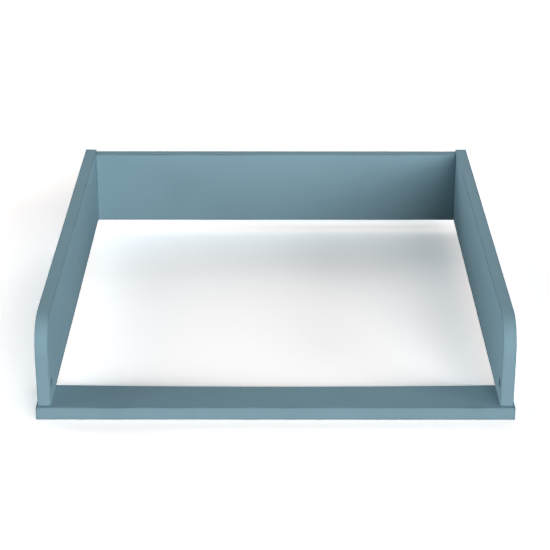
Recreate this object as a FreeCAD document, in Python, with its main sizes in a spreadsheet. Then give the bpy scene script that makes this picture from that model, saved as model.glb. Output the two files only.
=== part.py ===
import FreeCAD, Part
import math
import os
import Sketcher

# A changing top for a chest of drawers: two sides, a back and a flat front rail of lacquered board,
# held together by cam locks, cam bolts and dowels.
# Millimetres. +X is to the right, +Y to the back, +Z up. The origin is under the middle of the frame,
# level with the rail's underside.

# Driving sizes: name, value, meaning
SIZES = (
    ("frame_width", 784, "outside of one side to outside of the other"),
    ("frame_depth", 860, "front of the rail to the rear ends of the sides"),
    ("board", 22, "thickness of every board"),
    ("edge_radius", 0.8, "rounding of every board edge"),
    ("side_height", 148, "height of a side above the rail"),
    ("corner_radius", 55, "rounding of a side's top corner at the front"),
    ("back_drop", 4, "top of the back below the tops of the sides"),
    ("rail_front", 6, "rail in front of the sides"),
    ("rail_side", 3, "rail beyond each side"),
    ("rail_depth", 84, "front of the rail to its rear corners"),
    ("rail_bow", 7, "hollow of the rail's rear edge at its middle"),
    ("cam_bore", 15, "diameter of the hole for a cam lock"),
    ("cam_reach", 34, "board's edge to the axis of a cam lock"),
    ("cam_play", 0.08, "running clearance round a cam lock"),
    ("cam_sink", 0.6, "face of a cam lock below the board's surface"),
    ("cam_lift", 0.2, "clearance under a cam lock"),
    ("cam_floor", 1.6, "thickness of a cam lock under its chamber"),
    ("cam_wall", 1.9, "thickness of a cam lock round its chamber on the locked side"),
    ("cam_rim", 0.4, "chamfer round the face of a cam lock"),
    ("cam_throw", 0.4, "offset of a cam lock's chamber from its axis"),
    ("cam_grip", 0.25, "bolt head to the chamber wall when locked"),
    ("cross_length", 6.6, "length of the screwdriver cross"),
    ("cross_width", 1.7, "width of the screwdriver cross"),
    ("cross_depth", 3.2, "depth of the screwdriver cross"),
    ("mark_size", 1, "radius of the three-cornered mark that points to the cam's mouth"),
    ("mark_depth", 0.5, "depth of that mark"),
    ("head_radius", 2.9, "radius of a cam bolt's head"),
    ("head_length", 2.4, "length of the head's rim"),
    ("head_play", 0.3, "clearance round the head in the chamber"),
    ("neck_radius", 1.75, "radius of a cam bolt's neck"),
    ("neck_play", 0.35, "clearance round the neck in its slot"),
    ("shank_radius", 3.5, "radius of a cam bolt's shank"),
    ("shank_play", 0.5, "clearance round the shank in its hole"),
    ("shank_gap", 0.7, "end of the shank to the cam hole"),
    ("thread_length", 11, "length of a cam bolt's thread"),
    ("thread_crest", 3, "radius over the thread"),
    ("thread_root", 2.2, "radius under the thread"),
    ("thread_pitch", 2, "spacing of the thread's ridges"),
    ("thread_play", 0.05, "clearance round the thread in its hole"),
    ("dowel_radius", 4, "radius of a dowel"),
    ("dowel_length", 30, "length of a dowel"),
    ("dowel_chamfer", 1, "chamfer of a dowel's ends"),
    ("dowel_seat", 11, "length of a dowel in the face of a board"),
    ("dowel_play", 0.05, "clearance round a dowel"),
    ("hole_end", 0.5, "clearance at the end of a hole"),
    ("front_setback", 20, "front edge of a side to its cam lock"),
    ("front_inset", 25, "rear corner of the rail to its dowels"),
    ("back_inset", 35, "upper and lower edges of the back to its cam locks"),
)
VALUES = {name: value for name, value, meaning in SIZES}

# Places that several pieces share, as expressions of the sizes
INNER_HALF = "(sizes.frame_width / 2 - sizes.board)"
SIDE_MIDDLE = "(sizes.frame_width / 2 - sizes.board / 2)"
REAR = "(sizes.frame_depth / 2)"
BACK_MIDDLE = "(sizes.frame_depth / 2 - sizes.board / 2)"
RAIL_FRONT = "(-sizes.frame_depth / 2)"
SIDE_FRONT = "(sizes.rail_front - sizes.frame_depth / 2)"
SIDE_LENGTH = "(sizes.frame_depth - sizes.rail_front)"
RAIL_HALF = "(sizes.frame_width / 2 + sizes.rail_side)"
BACK_HEIGHT = "(sizes.side_height - sizes.back_drop)"
BACK_LEVELS = (
    ("lower", "sizes.back_inset"),
    ("upper", f"({BACK_HEIGHT} - sizes.back_inset)"),
)
BACK_DOWEL_LEVEL = f"({BACK_HEIGHT} / 2)"
FRONT_DOWEL = "(sizes.rail_depth - sizes.front_inset - sizes.rail_front)"
DOWEL_FACE_HOLE = "(sizes.dowel_seat + sizes.hole_end)"
DOWEL_EDGE_HOLE = "(sizes.dowel_length - sizes.dowel_seat + sizes.hole_end)"
DOWEL_HOLE_RADIUS = "(sizes.dowel_radius + sizes.dowel_play)"
THREAD_HOLE = "(sizes.thread_length + sizes.hole_end)"
THREAD_HOLE_RADIUS = "(sizes.thread_crest + sizes.thread_play)"
SHANK_HOLE_RADIUS = "(sizes.shank_radius + sizes.shank_play)"
CHAMBER_HALF = "(sizes.head_radius + sizes.head_play)"
CAM_HOLE_DEPTH = f"(sizes.board / 2 + {CHAMBER_HALF} + sizes.cam_floor + sizes.cam_lift)"
CAM_RADIUS = "(sizes.cam_bore / 2 - sizes.cam_play)"
CHAMBER_NEAR = f"({CAM_RADIUS} - sizes.cam_wall)"
HEAD_REACH = f"({CHAMBER_NEAR} - sizes.cam_grip)"

ORIGIN = "0"
HANDS = (("left", -1), ("right", 1))
QUARTER_TURN = 90
HALF_TURN = 180
FULL_TURN = 360
MARK_CORNERS = 3

# A sketch's own axes, and the ends and centre of its edges
X_AXIS, Y_AXIS = range(-1, -3, -1)
START, END, CENTRE = range(1, 4)

RIGHT = FreeCAD.Vector(1, 0, 0)
BACKWARD = FreeCAD.Vector(0, 1, 0)
UP = FreeCAD.Vector(0, 0, 1)
NO_TURN = FreeCAD.Rotation()


def make_sheet(doc):
    sheet = doc.addObject("Spreadsheet::Sheet", "sizes")
    for row, (name, value, meaning) in enumerate(SIZES, start=1):
        sheet.set(f"A{row}", meaning)
        sheet.set(f"B{row}", str(value))
        sheet.setAlias(f"B{row}", name)
    doc.recompute()
    return sheet


def place(item, position):
    for axis, expression in zip("xyz", position):
        item.setExpression(f"Placement.Base.{axis}", expression)


def new_body(doc, label, position, rotation=NO_TURN):
    body = doc.addObject("PartDesign::Body", label)
    body.Label = label
    body.Placement = FreeCAD.Placement(FreeCAD.Vector(), rotation)
    place(body, position)
    return body


def new_sketch(body, name, role):
    sketch = body.newObject("Sketcher::SketchObject", f"{body.Name}_{name}")
    plane = [item for item in body.Origin.OriginFeatures if item.Role == role][0]
    sketch.AttachmentSupport = (plane, [""])
    sketch.MapMode = "FlatFace"
    return sketch


def point_at(sheet, corner):
    x_value, y_value = (float(sheet.evalExpression(text)) for text in corner)
    return FreeCAD.Vector(x_value, y_value, 0)


def drive(sketch, constraint, name, expression):
    """Add a dimension whose value follows an expression."""
    number = sketch.addConstraint(constraint)
    sketch.renameConstraint(number, name)
    sketch.setExpression(f"Constraints.{name}", expression)


def hold(sketch, edge, end, corner, sheet):
    """Keep one end of an edge at its two distances from the sketch's origin."""
    where = point_at(sheet, corner)
    for kind, axis, text, value in (
        ("DistanceX", Y_AXIS, corner[0], where.x),
        ("DistanceY", X_AXIS, corner[1], where.y),
    ):
        if text == ORIGIN:
            sketch.addConstraint(Sketcher.Constraint("PointOnObject", edge, end, axis))
            continue
        distance = Sketcher.Constraint(kind, X_AXIS, START, edge, end, value)
        drive(sketch, distance, f"{kind}_{edge}", text)


def polygon(sketch, corners, sheet):
    """Draw a closed outline through corners given as pairs of expressions."""
    points = [point_at(sheet, corner) for corner in corners]
    edges = []
    for start, end in zip(points, points[1:] + points[:1]):
        edges.append(sketch.addGeometry(Part.LineSegment(start, end)))
    for edge, following in zip(edges, edges[1:] + edges[:1]):
        sketch.addConstraint(Sketcher.Constraint("Coincident", edge, END, following, START))
    for edge, corner in zip(edges, corners):
        hold(sketch, edge, START, corner, sheet)


def pad(body, sketch, length, reverse=False):
    feature = body.newObject("PartDesign::Pad", f"{body.Name}_pad")
    feature.Profile = sketch
    feature.Reversed = reverse
    feature.setExpression("Length", length)
    return feature


def revolve(body, sketch):
    feature = body.newObject("PartDesign::Revolution", f"{body.Name}_turned")
    feature.Profile = sketch
    feature.ReferenceAxis = (sketch, ["V_Axis"])
    feature.Angle = FULL_TURN
    return feature


def ease_edges(doc, body, feature):
    """Round every edge of a board slightly, as lacquered boards are."""
    doc.recompute()
    rounding = body.newObject("PartDesign::Fillet", f"{body.Name}_eased")
    rounding.Base = (feature, ["Face1"])
    rounding.UseAllEdges = True
    rounding.setExpression("Radius", "sizes.edge_radius")


def drill(body, name, position, direction, radius, depth):
    """Cut a round hole that starts at a point of the surface and runs along a direction."""
    hole = body.newObject("PartDesign::SubtractiveCylinder", f"{body.Name}_{name}")
    hole.Placement = FreeCAD.Placement(FreeCAD.Vector(), FreeCAD.Rotation(UP, direction))
    place(hole, position)
    hole.setExpression("Radius", radius)
    hole.setExpression("Height", depth)


def cut_box(body, name, low, size):
    box = body.newObject("PartDesign::SubtractiveBox", f"{body.Name}_{name}")
    place(box, low)
    for side, expression in zip(("Length", "Width", "Height"), size):
        box.setExpression(side, expression)


def make_side(doc, sheet, hand, sign):
    """A side: its outline seen from the right, front end at the origin, inner face on the YZ plane."""
    body = new_body(doc, f"{hand}_side", (f"{sign} * {INNER_HALF}", SIDE_FRONT, "sizes.board"))
    sketch = new_sketch(body, "outline", "YZ_Plane")
    rear_low = point_at(sheet, (SIDE_LENGTH, ORIGIN))
    rear_high = point_at(sheet, (SIDE_LENGTH, "sizes.side_height"))
    round_high = point_at(sheet, ("sizes.corner_radius", "sizes.side_height"))
    round_low = point_at(sheet, (ORIGIN, "sizes.side_height - sizes.corner_radius"))
    centre = FreeCAD.Vector(round_high.x, round_low.y, 0)
    circle = Part.Circle(centre, UP, VALUES["corner_radius"])
    bottom = sketch.addGeometry(Part.LineSegment(FreeCAD.Vector(), rear_low))
    rear = sketch.addGeometry(Part.LineSegment(rear_low, rear_high))
    top = sketch.addGeometry(Part.LineSegment(rear_high, round_high))
    turn = (math.radians(QUARTER_TURN), math.radians(HALF_TURN))
    corner = sketch.addGeometry(Part.ArcOfCircle(circle, *turn))
    front = sketch.addGeometry(Part.LineSegment(round_low, FreeCAD.Vector()))
    for edge, following in ((bottom, rear), (rear, top), (front, bottom)):
        sketch.addConstraint(Sketcher.Constraint("Coincident", edge, END, following, START))
    for edge, following in ((top, corner), (corner, front)):
        sketch.addConstraint(Sketcher.Constraint("Tangent", edge, END, following, START))
    sketch.addConstraint(Sketcher.Constraint("Coincident", bottom, START, X_AXIS, START))
    sketch.addConstraint(Sketcher.Constraint("Vertical", front))
    sketch.addConstraint(Sketcher.Constraint("Horizontal", top))
    hold(sketch, rear, START, (SIDE_LENGTH, ORIGIN), sheet)
    hold(sketch, top, START, (SIDE_LENGTH, "sizes.side_height"), sheet)
    rounding = Sketcher.Constraint("Radius", corner, circle.Radius)
    drive(sketch, rounding, "corner_radius", "sizes.corner_radius")
    ease_edges(doc, body, pad(body, sketch, "sizes.board", sign < 0))

    outward = RIGHT * sign
    middle = f"{sign} * sizes.board / 2"
    back_middle = f"({SIDE_LENGTH} - sizes.board / 2)"
    cam_place = (ORIGIN, "sizes.front_setback", "sizes.cam_reach")
    drill(body, "cam_hole", cam_place, outward, "sizes.cam_bore / 2", CAM_HOLE_DEPTH)
    bolt_place = (middle, "sizes.front_setback", ORIGIN)
    drill(body, "bolt_hole", bolt_place, UP, SHANK_HOLE_RADIUS, "sizes.cam_reach")
    dowel_place = (middle, FRONT_DOWEL, ORIGIN)
    drill(body, "dowel_hole", dowel_place, UP, DOWEL_HOLE_RADIUS, DOWEL_EDGE_HOLE)
    for level, height in BACK_LEVELS:
        thread_place = (ORIGIN, back_middle, height)
        drill(body, f"thread_hole_{level}", thread_place, outward, THREAD_HOLE_RADIUS, THREAD_HOLE)
    back_dowel_place = (ORIGIN, back_middle, BACK_DOWEL_LEVEL)
    drill(body, "back_dowel_hole", back_dowel_place, outward, DOWEL_HOLE_RADIUS, DOWEL_FACE_HOLE)
    return body


def make_back(doc, sheet):
    """The back: between the sides, its rear face on the XZ plane."""
    body = new_body(doc, "back_panel", (ORIGIN, REAR, "sizes.board"))
    sketch = new_sketch(body, "outline", "XZ_Plane")
    corners = (
        (f"-{INNER_HALF}", ORIGIN),
        (INNER_HALF, ORIGIN),
        (INNER_HALF, BACK_HEIGHT),
        (f"-{INNER_HALF}", BACK_HEIGHT),
    )
    polygon(sketch, corners, sheet)
    ease_edges(doc, body, pad(body, sketch, "sizes.board"))
    for hand, sign in HANDS:
        inward = RIGHT * -sign
        end = f"{sign} * {INNER_HALF}"
        cam_across = f"{sign} * ({INNER_HALF} - sizes.cam_reach)"
        for level, height in BACK_LEVELS:
            spot = f"{hand}_{level}"
            cam_place = (cam_across, ORIGIN, height)
            drill(body, f"cam_hole_{spot}", cam_place, -BACKWARD, "sizes.cam_bore / 2", CAM_HOLE_DEPTH)
            bolt_place = (end, "-sizes.board / 2", height)
            drill(body, f"bolt_hole_{spot}", bolt_place, inward, SHANK_HOLE_RADIUS, "sizes.cam_reach")
        dowel_place = (end, "-sizes.board / 2", BACK_DOWEL_LEVEL)
        drill(body, f"dowel_hole_{hand}", dowel_place, inward, DOWEL_HOLE_RADIUS, DOWEL_EDGE_HOLE)
    return body


def make_rail(doc, sheet):
    """The rail: flat under the front ends of the sides, its rear edge a shallow hollow arc."""
    body = new_body(doc, "front_rail", (ORIGIN, RAIL_FRONT, ORIGIN))
    sketch = new_sketch(body, "outline", "XY_Plane")
    arc_radius = f"({RAIL_HALF} ^ 2 + sizes.rail_bow ^ 2) / (2 * sizes.rail_bow)"
    front_left = (f"-{RAIL_HALF}", ORIGIN)
    front_right = (RAIL_HALF, ORIGIN)
    rear_left = (f"-{RAIL_HALF}", "sizes.rail_depth")
    rear_right = (RAIL_HALF, "sizes.rail_depth")
    corners = [point_at(sheet, corner) for corner in (rear_left, front_left, front_right, rear_right)]
    radius = float(sheet.evalExpression(arc_radius))
    lowest = math.radians(FULL_TURN - QUARTER_TURN)
    spread = math.asin(corners[3].x / radius)
    centre = FreeCAD.Vector(0, VALUES["rail_depth"] - VALUES["rail_bow"] + radius, 0)
    circle = Part.Circle(centre, UP, radius)
    edges = []
    for start, end in zip(corners, corners[1:]):
        edges.append(sketch.addGeometry(Part.LineSegment(start, end)))
    left, front, right = edges
    rear = sketch.addGeometry(Part.ArcOfCircle(circle, lowest - spread, lowest + spread))
    meetings = (
        (left, END, front, START),
        (front, END, right, START),
        (right, END, rear, END),
        (left, START, rear, START),
    )
    for edge, end, following, start in meetings:
        sketch.addConstraint(Sketcher.Constraint("Coincident", edge, end, following, start))
    hold(sketch, left, START, rear_left, sheet)
    hold(sketch, front, START, front_left, sheet)
    hold(sketch, right, START, front_right, sheet)
    sketch.addConstraint(Sketcher.Constraint("Vertical", right))
    sketch.addConstraint(Sketcher.Constraint("PointOnObject", rear, CENTRE, Y_AXIS))
    drive(sketch, Sketcher.Constraint("Radius", rear, radius), "rear_radius", arc_radius)
    ease_edges(doc, body, pad(body, sketch, "sizes.board"))
    for hand, sign in HANDS:
        across = f"{sign} * {SIDE_MIDDLE}"
        thread_place = (across, "sizes.rail_front + sizes.front_setback", "sizes.board")
        drill(body, f"thread_hole_{hand}", thread_place, -UP, THREAD_HOLE_RADIUS, THREAD_HOLE)
        dowel_place = (across, f"sizes.rail_front + {FRONT_DOWEL}", "sizes.board")
        drill(body, f"dowel_hole_{hand}", dowel_place, -UP, DOWEL_HOLE_RADIUS, DOWEL_FACE_HOLE)
    return body


def make_dowel(doc, sheet, label, position, direction):
    """A dowel: its seat end at the origin, lying along +Z."""
    body = new_body(doc, label, position, FreeCAD.Rotation(UP, direction))
    sketch = new_sketch(body, "profile", "XZ_Plane")
    small = "sizes.dowel_radius - sizes.dowel_chamfer"
    far = "sizes.dowel_length"
    corners = (
        (ORIGIN, ORIGIN),
        (small, ORIGIN),
        ("sizes.dowel_radius", "sizes.dowel_chamfer"),
        ("sizes.dowel_radius", f"{far} - sizes.dowel_chamfer"),
        (small, far),
        (ORIGIN, far),
    )
    polygon(sketch, corners, sheet)
    revolve(body, sketch)
    return body


def make_bolt(doc, sheet, label, position, direction):
    """A cam bolt: its shoulder at the origin, thread below it, shank, neck and head along +Z."""
    body = new_body(doc, label, position, FreeCAD.Rotation(UP, direction))
    sketch = new_sketch(body, "profile", "XZ_Plane")
    corners = [(ORIGIN, "-sizes.thread_length")]
    ridges = int(VALUES["thread_length"] / VALUES["thread_pitch"])
    for ridge in range(ridges, 0, -1):
        corners.append(("sizes.thread_root", f"-({ridge} * sizes.thread_pitch)"))
        corners.append(("sizes.thread_crest", f"-({2 * ridge - 1} * sizes.thread_pitch / 2)"))
    shank_end = "sizes.cam_reach - sizes.cam_bore / 2 - sizes.shank_gap"
    neck_end = f"sizes.cam_reach - sqrt({HEAD_REACH} ^ 2 - sizes.neck_radius ^ 2)"
    head_rim = f"sizes.cam_reach - sqrt({HEAD_REACH} ^ 2 - sizes.head_radius ^ 2)"
    head_end = f"{head_rim} + sizes.head_length"
    corners += [
        ("sizes.thread_root", ORIGIN),
        ("sizes.shank_radius", ORIGIN),
        ("sizes.shank_radius", shank_end),
        ("sizes.neck_radius", shank_end),
        ("sizes.neck_radius", neck_end),
        ("sizes.head_radius", head_rim),
        ("sizes.head_radius", head_end),
        (ORIGIN, head_end),
    ]
    polygon(sketch, corners, sheet)
    revolve(body, sketch)
    return body


def make_cam(doc, sheet, label, position, face, bolt):
    """A cam lock: the board's surface is its XY plane, +Z points out of it and +X towards the bolt."""
    rotation = FreeCAD.Rotation(bolt, face.cross(bolt), face, "ZXY")
    body = new_body(doc, label, position, rotation)
    sketch = new_sketch(body, "profile", "XZ_Plane")
    foot = f"-({CAM_HOLE_DEPTH} - sizes.cam_lift)"
    corners = (
        (ORIGIN, foot),
        (CAM_RADIUS, foot),
        (CAM_RADIUS, "-(sizes.cam_sink + sizes.cam_rim)"),
        (f"{CAM_RADIUS} - sizes.cam_rim", "-sizes.cam_sink"),
        (ORIGIN, "-sizes.cam_sink"),
    )
    polygon(sketch, corners, sheet)
    revolve(body, sketch)

    # The chamber holds the head. Its wall comes nearest the cam's axis on the locked side.
    chamber_radius = f"{CHAMBER_NEAR} + sizes.cam_throw"
    chamber_floor = f"-sizes.board / 2 - {CHAMBER_HALF}"
    chamber_place = ("-sizes.cam_throw", ORIGIN, chamber_floor)
    drill(body, "chamber", chamber_place, UP, chamber_radius, f"2 * {CHAMBER_HALF}")

    # The neck runs in a slot, half a turn and its own width long, with a mouth as wide as the head.
    slot_half = "(sizes.neck_radius + sizes.neck_play)"
    slot_margin = f"asin({slot_half} / {CHAMBER_NEAR})"
    slot = body.newObject("PartDesign::SubtractiveCylinder", f"{body.Name}_slot")
    slot.Placement = FreeCAD.Placement(FreeCAD.Vector(), FreeCAD.Rotation(UP, HALF_TURN))
    slot.setExpression("Placement.Rotation.Angle", f"{HALF_TURN} deg - {slot_margin}")
    place(slot, (ORIGIN, ORIGIN, f"-sizes.board / 2 - {slot_half}"))
    slot.setExpression("Angle", f"{HALF_TURN} deg + 2 * {slot_margin}")
    slot.setExpression("Radius", "sizes.cam_bore / 2")
    slot.setExpression("Height", f"2 * {slot_half}")
    mouth_low = ("-sizes.cam_bore / 2", f"-{CHAMBER_HALF}", chamber_floor)
    mouth_size = ("sizes.cam_bore / 2", f"2 * {CHAMBER_HALF}", f"2 * {CHAMBER_HALF}")
    cut_box(body, "mouth", mouth_low, mouth_size)

    # The face has a cross for the screwdriver and a mark that points to the mouth.
    recess_floor = "-sizes.cam_sink - sizes.cross_depth"
    arm_long = "-sizes.cross_length / 2"
    arm_short = "-sizes.cross_width / 2"
    long_size = ("sizes.cross_length", "sizes.cross_width", "sizes.cross_depth")
    wide_size = ("sizes.cross_width", "sizes.cross_length", "sizes.cross_depth")
    cut_box(body, "cross_along", (arm_long, arm_short, recess_floor), long_size)
    cut_box(body, "cross_across", (arm_short, arm_long, recess_floor), wide_size)
    mark = body.newObject("PartDesign::SubtractivePrism", f"{body.Name}_mark")
    mark.Placement = FreeCAD.Placement(FreeCAD.Vector(), FreeCAD.Rotation(UP, HALF_TURN))
    mark_out = f"-(sizes.cross_length / 2 + {CAM_RADIUS} - sizes.cam_rim) / 2"
    place(mark, (mark_out, ORIGIN, "-sizes.cam_sink - sizes.mark_depth"))
    mark.Polygon = MARK_CORNERS
    mark.setExpression("Circumradius", "sizes.mark_size")
    mark.setExpression("Height", "sizes.mark_depth")
    return body


def make_front_fittings(doc, sheet, hand, sign):
    """Cam lock, bolt and dowel that hold one side to the rail."""
    across = f"{sign} * {SIDE_MIDDLE}"
    along = f"{SIDE_FRONT} + sizes.front_setback"
    cam_place = (f"{sign} * {INNER_HALF}", along, "sizes.board + sizes.cam_reach")
    dowel_place = (across, f"{SIDE_FRONT} + {FRONT_DOWEL}", "sizes.board - sizes.dowel_seat")
    return [
        make_cam(doc, sheet, f"front_cam_{hand}", cam_place, RIGHT * -sign, -UP),
        make_bolt(doc, sheet, f"front_bolt_{hand}", (across, along, "sizes.board"), UP),
        make_dowel(doc, sheet, f"front_dowel_{hand}", dowel_place, UP),
    ]


def make_back_fittings(doc, sheet, hand, sign):
    """Cam locks, bolts and dowel that hold one side to the back."""
    inward = RIGHT * -sign
    cam_across = f"{sign} * ({INNER_HALF} - sizes.cam_reach)"
    bolt_across = f"{sign} * {INNER_HALF}"
    dowel_across = f"{sign} * ({INNER_HALF} + sizes.dowel_seat)"
    bodies = []
    for level, height in BACK_LEVELS:
        up_to = f"sizes.board + {height}"
        cam_label = f"back_cam_{hand}_{level}"
        bolt_label = f"back_bolt_{hand}_{level}"
        bodies.append(make_cam(doc, sheet, cam_label, (cam_across, REAR, up_to), BACKWARD, -inward))
        bodies.append(make_bolt(doc, sheet, bolt_label, (bolt_across, BACK_MIDDLE, up_to), inward))
    dowel_place = (dowel_across, BACK_MIDDLE, f"sizes.board + {BACK_DOWEL_LEVEL}")
    bodies.append(make_dowel(doc, sheet, f"back_dowel_{hand}", dowel_place, inward))
    return bodies


def check(doc, bodies):
    """Every feature is sound, every cut removes something and every piece is one valid solid."""
    for item in doc.Objects:
        if "Invalid" in item.State or "Error" in item.State:
            raise RuntimeError(f"{item.Name} failed: {item.State}")
    for body in bodies:
        for feature in body.Group:
            if not feature.TypeId.startswith("PartDesign::Subtractive"):
                continue
            if feature.Shape.Volume >= feature.BaseFeature.Shape.Volume:
                raise RuntimeError(f"{feature.Name} cuts nothing")
        shape = body.Shape
        if shape.isNull() or not shape.isValid() or len(shape.Solids) != 1:
            raise RuntimeError(f"{body.Label} is not one valid solid")


doc = FreeCAD.newDocument("changing_top")
sheet = make_sheet(doc)
bodies = [make_back(doc, sheet), make_rail(doc, sheet)]
for hand, sign in HANDS:
    bodies.append(make_side(doc, sheet, hand, sign))
    bodies += make_front_fittings(doc, sheet, hand, sign)
    bodies += make_back_fittings(doc, sheet, hand, sign)
doc.recompute()
check(doc, bodies)

os.makedirs("parts", exist_ok=True)
for body in bodies:
    body.Shape.exportStep(f"parts/{body.Label}.step")
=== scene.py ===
import math

import bpy
from mathutils import Euler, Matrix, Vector

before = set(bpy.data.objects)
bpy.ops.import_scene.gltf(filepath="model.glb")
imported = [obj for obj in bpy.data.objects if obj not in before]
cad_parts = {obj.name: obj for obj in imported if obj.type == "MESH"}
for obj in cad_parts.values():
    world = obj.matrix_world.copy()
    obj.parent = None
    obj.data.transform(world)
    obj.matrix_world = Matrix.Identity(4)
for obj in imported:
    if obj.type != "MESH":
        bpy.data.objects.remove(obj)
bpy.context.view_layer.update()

# A changing top: an open frame of lacquered boards, held together by cam locks, bolts and dowels.
# Metres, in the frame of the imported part: +X to the right, +Y to the back, +Z up.

MM = 0.001

# The camera stands in front of the frame and looks down into it. Degrees, and millimetres for the lens.
CAMERA_PLACE = (0.0023, -2.9711, 1.3618)
CAMERA_TILT_DOWN = 23.44
CAMERA_TURN_LEFT = 0.07
CAMERA_LENS = 114.0
SENSOR_WIDTH = 36.0

# Far lamps: name, direction, degrees above the floor, degrees across, and strength.
# The direction is in degrees: 0 is the camera's side, 90 the right, 180 behind and 270 the left.
# A strength of pi shows a face that the light meets squarely in its colour as written.
# The rear lamp is low and narrow, so it lights the rear faces and hardly touches the tops and the floor.
LAMPS = (
    ("key_lamp", 15, 14, 30, 2.0),
    ("right_lamp", 60, 14, 30, 1.3),
    ("right_rear_lamp", 165, 23, 30, 0.87),
    ("rear_lamp", 180, 2, 8, 1.2),
    ("left_rear_lamp", 225, 23, 30, 0.78),
    ("left_lamp", 285, 6, 30, 1.76),
)

# Glow of the room by height, from 0 at the horizon to 1 straight overhead: pale walls at the foot,
# a dark band above them and a soft ceiling. In the picture the room shows white instead.
ROOM_GLOW = (
    (0.05, 0.45),
    (0.3, 0.0),
    (0.6, 0.0),
    (0.9, 0.16),
)
WHITE = 1.0

# The floor is white paper, a hair under the rail. The lens sees it lighter than it is, so that it comes out
# white around the shadow. It throws little light back, so that the lower edges of the boards stay dark.
FLOOR_REACH = 8.0
FLOOR_DROP = 0.5 * MM
PAPER = "#fffcfb"
PAPER_BOUNCE = 0.05
PAPER_SEEN = 2.06

# A noise texture keeps mostly between these values. Its detail counts the finer layers in it.
NOISE_LOW = 0.3
NOISE_HIGH = 0.7

# Sprayed lacquer: the tone drifts over a hand's breadth, and a thin line of painted shade along the edges
# is deeper.
PAINTED_EDGE_SHADE = "#506a76"
LACQUER_TONES = ("#7f9fac", "#83a3b0")
LACQUER_DRIFT = 90 * MM
LACQUER_DRIFT_DETAIL = 2.0
EDGE_SHADE_WIDTH = 3 * MM

# The painted edge shade is at the start of the ramp, and the other tones fill this stretch of it.
LACQUER_BODY_START = 0.5
LACQUER_BODY_END = 1.0

# The edges that get the painted shade are found by short rays into the board. On a flat face all of them
# run free, and at an edge about half do, because the face round the edge stops the others.
EDGE_SHADE_RAYS = 16
EDGE_OPENNESS = 0.5
FLAT_OPENNESS = 1.0

# The ripple of sprayed lacquer is about 2 mm from crest to crest, which is finer than the picture's grain,
# so it is drawn three times as coarse.
LACQUER_RIPPLE = 3 * 2 * MM
LACQUER_RIPPLE_DETAIL = 1.0
LACQUER_RIPPLE_HEIGHT = 0.012 * MM

# Matting leaves the lacquer hardly any gloss: a clear lacquer's level would be 0.5.
LACQUER_GLOSS = 0.04
LACQUER_IOR = 1.5
LACQUER_DARK_ROUGHNESS = 0.72
LACQUER_PALE_ROUGHNESS = 0.88

# Die-cast zinc: mottled where the melt met the die, with pits of about a third of a millimetre.
ZINC_TONES = ("#4c5257", "#646b70")
ZINC_MOTTLE = 4 * MM
ZINC_MOTTLE_DETAIL = 4.0
ZINC_DARK_ROUGHNESS = 0.6
ZINC_PALE_ROUGHNESS = 0.4
ZINC_PITS = 0.35 * MM
ZINC_PIT_DEPTH = 0.02 * MM

# Turned and plated steel: cloudy plating over rings from the tool, half a millimetre apart.
STEEL_TONES = ("#a9adb0", "#c9ccce")
STEEL_CLOUDS = 6 * MM
STEEL_CLOUD_DETAIL = 3.0
STEEL_DARK_ROUGHNESS = 0.22
STEEL_PALE_ROUGHNESS = 0.38
STEEL_RINGS = 0.5 * MM
STEEL_RING_HEIGHT = 0.01 * MM

# A wave texture at scale 1 repeats at this distance.
WAVE_REPEAT = math.pi / 10

# Beech: short darker flecks along pale, straight grain. The tones fill this stretch of the flecks' noise.
BEECH_TONES = ("#b98d62", "#d6b086", "#dfbd95")
BEECH_FLECK_START = 0.35
BEECH_FLECK_END = 0.6
BEECH_FLECK_LENGTH = 4 * MM
BEECH_FLECK_WIDTH = 0.5 * MM
BEECH_FLECK_DETAIL = 3.0
BEECH_GRAIN_HEIGHT = 0.03 * MM
BEECH_ROUGHNESS = 0.7
BEECH_IOR = 1.5


def linear(code, strength=1.0):
    """An sRGB hex colour as the linear colour that a shader takes, times a strength."""
    shares = [int(code[place:place + 2], 16) / 255 for place in (1, 3, 5)]
    colour = [s / 12.92 if s <= 0.04045 else ((s + 0.055) / 1.055) ** 2.4 for s in shares]
    return [strength * share for share in colour] + [1.0]


def grey(level):
    return (level, level, level, 1.0)


def even_stops(codes, start, end):
    """Colours at even steps from one place on a ramp to another."""
    step = (end - start) / (len(codes) - 1)
    return [(start + number * step, linear(code)) for number, code in enumerate(codes)]


def add_node(tree, kind, inputs=None, stops=(), **settings):
    """Add a node with its settings and a ramp's stops. An input is a value, or the socket that feeds it."""
    made = tree.nodes.new(kind)
    for name, value in settings.items():
        setattr(made, name, value)
    for name, value in (inputs or {}).items():
        if isinstance(value, bpy.types.NodeSocket):
            tree.links.new(value, made.inputs[name])
        else:
            made.inputs[name].default_value = value
    for number, (place, colour) in enumerate(stops):
        marks = made.color_ramp.elements
        mark = marks[number] if number < len(marks) else marks.new(place)
        mark.position = place
        mark.color = colour
    return made


def new_material(name):
    material = bpy.data.materials.new(name)
    material.use_nodes = True
    material.node_tree.nodes.clear()
    return material


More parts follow.
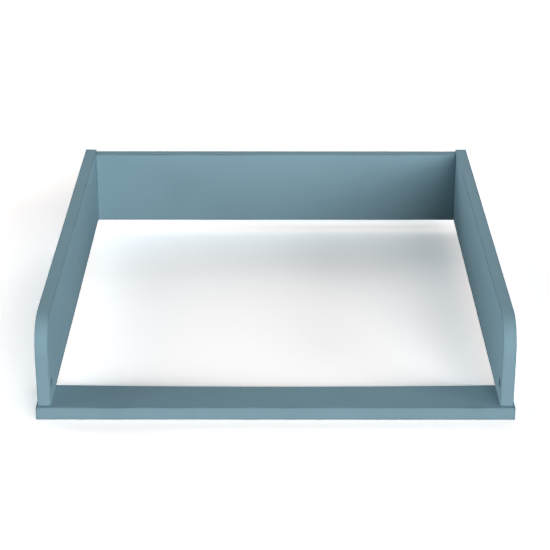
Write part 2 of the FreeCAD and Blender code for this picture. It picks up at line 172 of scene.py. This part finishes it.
def sprayed_lacquer():
    """Matt lacquer, sprayed on primed fibreboard.

    The eye sees an even, chalky blue-grey with hardly any gloss. Its tone drifts very little,
    the spray leaves a faint ripple, and a thin deeper line of painted shade runs along the eased edges.
    """
    material = new_material("sprayed_lacquer")
    tree = material.node_tree
    place = add_node(tree, "ShaderNodeTexCoord").outputs["Object"]
    drift = add_node(tree, "ShaderNodeTexNoise", {
        "Vector": place,
        "Scale": 1 / LACQUER_DRIFT,
        "Detail": LACQUER_DRIFT_DETAIL,
    }).outputs["Fac"]
    body = add_node(tree, "ShaderNodeMapRange", {
        "Value": drift,
        "From Min": NOISE_LOW,
        "From Max": NOISE_HIGH,
        "To Min": LACQUER_BODY_START,
        "To Max": LACQUER_BODY_END,
    })
    # Painted shade: a mask that is 0 at the edges and 1 on flat faces darkens the tone along the edges.
    openness = add_node(tree, "ShaderNodeAmbientOcclusion", {
        "Distance": EDGE_SHADE_WIDTH,
    }, samples=EDGE_SHADE_RAYS, inside=True)
    flatness = add_node(tree, "ShaderNodeMapRange", {
        "Value": openness.outputs["AO"],
        "From Min": EDGE_OPENNESS,
        "From Max": FLAT_OPENNESS,
    })
    drift_and_edge_shade = add_node(tree, "ShaderNodeMath", {
        0: body.outputs[0],
        1: flatness.outputs[0],
    }, operation="MULTIPLY")
    # The ramp's first stop is the painted edge shade.
    edge_shade_stop = (0.0, linear(PAINTED_EDGE_SHADE))
    stops = [edge_shade_stop] + even_stops(LACQUER_TONES, LACQUER_BODY_START, LACQUER_BODY_END)
    tone = add_node(tree, "ShaderNodeValToRGB", {"Fac": drift_and_edge_shade.outputs[0]}, stops)
    dullness = add_node(tree, "ShaderNodeMapRange", {
        "Value": drift,
        "To Min": LACQUER_DARK_ROUGHNESS,
        "To Max": LACQUER_PALE_ROUGHNESS,
    })
    ripple = add_node(tree, "ShaderNodeTexNoise", {
        "Vector": place,
        "Scale": 1 / LACQUER_RIPPLE,
        "Detail": LACQUER_RIPPLE_DETAIL,
    })
    bump = add_node(tree, "ShaderNodeBump", {
        "Height": ripple.outputs["Fac"],
        "Distance": LACQUER_RIPPLE_HEIGHT,
    })
    shader = add_node(tree, "ShaderNodeBsdfPrincipled", {
        "Base Color": tone.outputs["Color"],
        "Roughness": dullness.outputs[0],
        "IOR": LACQUER_IOR,
        "Specular IOR Level": LACQUER_GLOSS,
        "Normal": bump.outputs[0],
    })
    add_node(tree, "ShaderNodeOutputMaterial", {"Surface": shader.outputs[0]})
    return material


def die_cast_zinc():
    """Zinc alloy, die-cast and tumbled: a dull, dark grey skin with soft mottling and fine pits."""
    material = new_material("die_cast_zinc")
    tree = material.node_tree
    place = add_node(tree, "ShaderNodeTexCoord").outputs["Object"]
    mottle = add_node(tree, "ShaderNodeTexNoise", {
        "Vector": place,
        "Scale": 1 / ZINC_MOTTLE,
        "Detail": ZINC_MOTTLE_DETAIL,
    }).outputs["Fac"]
    stops = even_stops(ZINC_TONES, NOISE_LOW, NOISE_HIGH)
    tone = add_node(tree, "ShaderNodeValToRGB", {"Fac": mottle}, stops)
    dullness = add_node(tree, "ShaderNodeMapRange", {
        "Value": mottle,
        "To Min": ZINC_DARK_ROUGHNESS,
        "To Max": ZINC_PALE_ROUGHNESS,
    })
    pits = add_node(tree, "ShaderNodeTexVoronoi", {"Vector": place, "Scale": 1 / ZINC_PITS})
    bump = add_node(tree, "ShaderNodeBump", {
        "Height": pits.outputs["Distance"],
        "Distance": ZINC_PIT_DEPTH,
    })
    shader = add_node(tree, "ShaderNodeBsdfPrincipled", {
        "Base Color": tone.outputs["Color"],
        "Metallic": 1.0,
        "Roughness": dullness.outputs[0],
        "Normal": bump.outputs[0],
    })
    add_node(tree, "ShaderNodeOutputMaterial", {"Surface": shader.outputs[0]})
    return material


def zinc_plated_steel(name, axis):
    """Steel, turned about one axis and plated with bright zinc: pale, cloudy metal with fine rings."""
    material = new_material(name)
    tree = material.node_tree
    place = add_node(tree, "ShaderNodeTexCoord").outputs["Object"]
    clouds = add_node(tree, "ShaderNodeTexNoise", {
        "Vector": place,
        "Scale": 1 / STEEL_CLOUDS,
        "Detail": STEEL_CLOUD_DETAIL,
    }).outputs["Fac"]
    stops = even_stops(STEEL_TONES, NOISE_LOW, NOISE_HIGH)
    tone = add_node(tree, "ShaderNodeValToRGB", {"Fac": clouds}, stops)
    dullness = add_node(tree, "ShaderNodeMapRange", {
        "Value": clouds,
        "To Min": STEEL_DARK_ROUGHNESS,
        "To Max": STEEL_PALE_ROUGHNESS,
    })
    rings = add_node(tree, "ShaderNodeTexWave", {
        "Vector": place,
        "Scale": WAVE_REPEAT / STEEL_RINGS,
    }, bands_direction=axis)
    bump = add_node(tree, "ShaderNodeBump", {
        "Height": rings.outputs["Fac"],
        "Distance": STEEL_RING_HEIGHT,
    })
    shader = add_node(tree, "ShaderNodeBsdfPrincipled", {
        "Base Color": tone.outputs["Color"],
        "Metallic": 1.0,
        "Roughness": dullness.outputs[0],
        "Normal": bump.outputs[0],
    })
    add_node(tree, "ShaderNodeOutputMaterial", {"Surface": shader.outputs[0]})
    return material


def turned_beech(name, axis):
    """Beech, turned along its grain: pale tan wood with short darker flecks that follow the axis."""
    material = new_material(name)
    tree = material.node_tree
    place = add_node(tree, "ShaderNodeTexCoord").outputs["Object"]
    sizes = [BEECH_FLECK_LENGTH if letter == axis else BEECH_FLECK_WIDTH for letter in "XYZ"]
    along = add_node(tree, "ShaderNodeMapping", {"Vector": place, "Scale": [1 / size for size in sizes]})
    flecks = add_node(tree, "ShaderNodeTexNoise", {
        "Vector": along.outputs[0],
        "Scale": 1.0,
        "Detail": BEECH_FLECK_DETAIL,
    }).outputs["Fac"]
    stops = even_stops(BEECH_TONES, BEECH_FLECK_START, BEECH_FLECK_END)
    tone = add_node(tree, "ShaderNodeValToRGB", {"Fac": flecks}, stops)
    bump = add_node(tree, "ShaderNodeBump", {"Height": flecks, "Distance": BEECH_GRAIN_HEIGHT})
    shader = add_node(tree, "ShaderNodeBsdfPrincipled", {
        "Base Color": tone.outputs["Color"],
        "Roughness": BEECH_ROUGHNESS,
        "IOR": BEECH_IOR,
        "Normal": bump.outputs[0],
    })
    add_node(tree, "ShaderNodeOutputMaterial", {"Surface": shader.outputs[0]})
    return material


def direct_or_mirrored(tree):
    """1 on a ray that comes from the lens, straight or by way of metal or glass, and 0 on other rays."""
    path = add_node(tree, "ShaderNodeLightPath")
    seen = path.outputs["Is Camera Ray"]
    for ray in ("Is Glossy Ray", "Is Transmission Ray"):
        either = add_node(tree, "ShaderNodeMath", {0: seen, 1: path.outputs[ray]}, operation="MAXIMUM")
        seen = either.outputs[0]
    return seen


def white_paper():
    """Seamless white paper. Seen directly it comes out white, and the shadow on it stays."""
    material = new_material("white_paper")
    tree = material.node_tree
    bounce = add_node(tree, "ShaderNodeBsdfDiffuse", {"Color": linear(PAPER, PAPER_BOUNCE)})
    seen = add_node(tree, "ShaderNodeBsdfDiffuse", {"Color": linear(PAPER, PAPER_SEEN)})
    either = add_node(tree, "ShaderNodeMixShader", {
        "Fac": direct_or_mirrored(tree),
        1: bounce.outputs[0],
        2: seen.outputs[0],
    })
    add_node(tree, "ShaderNodeOutputMaterial", {"Surface": either.outputs[0]})
    return material


def lay_floor():
    mesh = bpy.data.meshes.new("floor")
    signs = ((-1, -1), (1, -1), (1, 1), (-1, 1))
    corners = [(x * FLOOR_REACH, y * FLOOR_REACH, -FLOOR_DROP) for x, y in signs]
    mesh.from_pydata(corners, [], [(0, 1, 2, 3)])
    mesh.materials.append(white_paper())
    floor = bpy.data.objects.new("floor", mesh)
    bpy.context.scene.collection.objects.link(floor)


def hang_lamp(name, direction, above, across, strength):
    """A far lamp, whose light comes from the same direction all over the floor."""
    lamp = bpy.data.lights.new(name, "SUN")
    lamp.energy = strength
    lamp.angle = math.radians(across)
    holder = bpy.data.objects.new(name, lamp)
    turn = math.radians(direction)
    rise = math.radians(above)
    from_there = Vector((math.sin(turn) * math.cos(rise), -math.cos(turn) * math.cos(rise), math.sin(rise)))
    holder.rotation_euler = (-from_there).to_track_quat("-Z", "Y").to_euler()
    bpy.context.scene.collection.objects.link(holder)


def light_room():
    """A room whose walls and ceiling glow softly on the frame, and show white in the picture."""
    world = bpy.data.worlds.new("studio")
    bpy.context.scene.world = world
    world.use_nodes = True
    tree = world.node_tree
    tree.nodes.clear()
    direction = add_node(tree, "ShaderNodeTexCoord").outputs["Generated"]
    height = add_node(tree, "ShaderNodeSeparateXYZ", {"Vector": direction}).outputs["Z"]
    stops = [(place, grey(level)) for place, level in ROOM_GLOW]
    glow = add_node(tree, "ShaderNodeValToRGB", {"Fac": height}, stops)
    level = add_node(tree, "ShaderNodeMix", {
        "Factor": direct_or_mirrored(tree),
        "A": glow.outputs["Color"],
        "B": WHITE,
    })
    background = add_node(tree, "ShaderNodeBackground", {
        "Color": grey(WHITE),
        "Strength": level.outputs[0],
    })
    add_node(tree, "ShaderNodeOutputWorld", {"Surface": background.outputs[0]})
    for lamp in LAMPS:
        hang_lamp(*lamp)


def set_camera():
    camera = bpy.data.cameras.new("camera")
    camera.lens = CAMERA_LENS
    camera.sensor_width = SENSOR_WIDTH
    holder = bpy.data.objects.new("camera", camera)
    holder.location = CAMERA_PLACE
    tilt = math.radians(90 - CAMERA_TILT_DOWN)
    holder.rotation_euler = Euler((tilt, 0, math.radians(CAMERA_TURN_LEFT)))
    bpy.context.scene.collection.objects.link(holder)
    bpy.context.scene.camera = holder


def finish_pieces():
    """Give each piece its finish. The front's bolts and dowels stand upright, and the back's lie across."""
    lacquer = sprayed_lacquer()
    finishes = {
        "side": lacquer,
        "panel": lacquer,
        "rail": lacquer,
        "cam": die_cast_zinc(),
    }
    for end, axis in (("front", "Z"), ("back", "X")):
        finishes[f"{end}_bolt"] = zinc_plated_steel(f"{end}_plated_steel", axis)
        finishes[f"{end}_dowel"] = turned_beech(f"{end}_beech", axis)
    for name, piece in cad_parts.items():
        finish = next(made for word, made in finishes.items() if word in name)
        for slot in piece.material_slots:
            slot.material = finish


finish_pieces()
lay_floor()
light_room()
set_camera()
bpy.context.scene.view_settings.view_transform = "Standard"
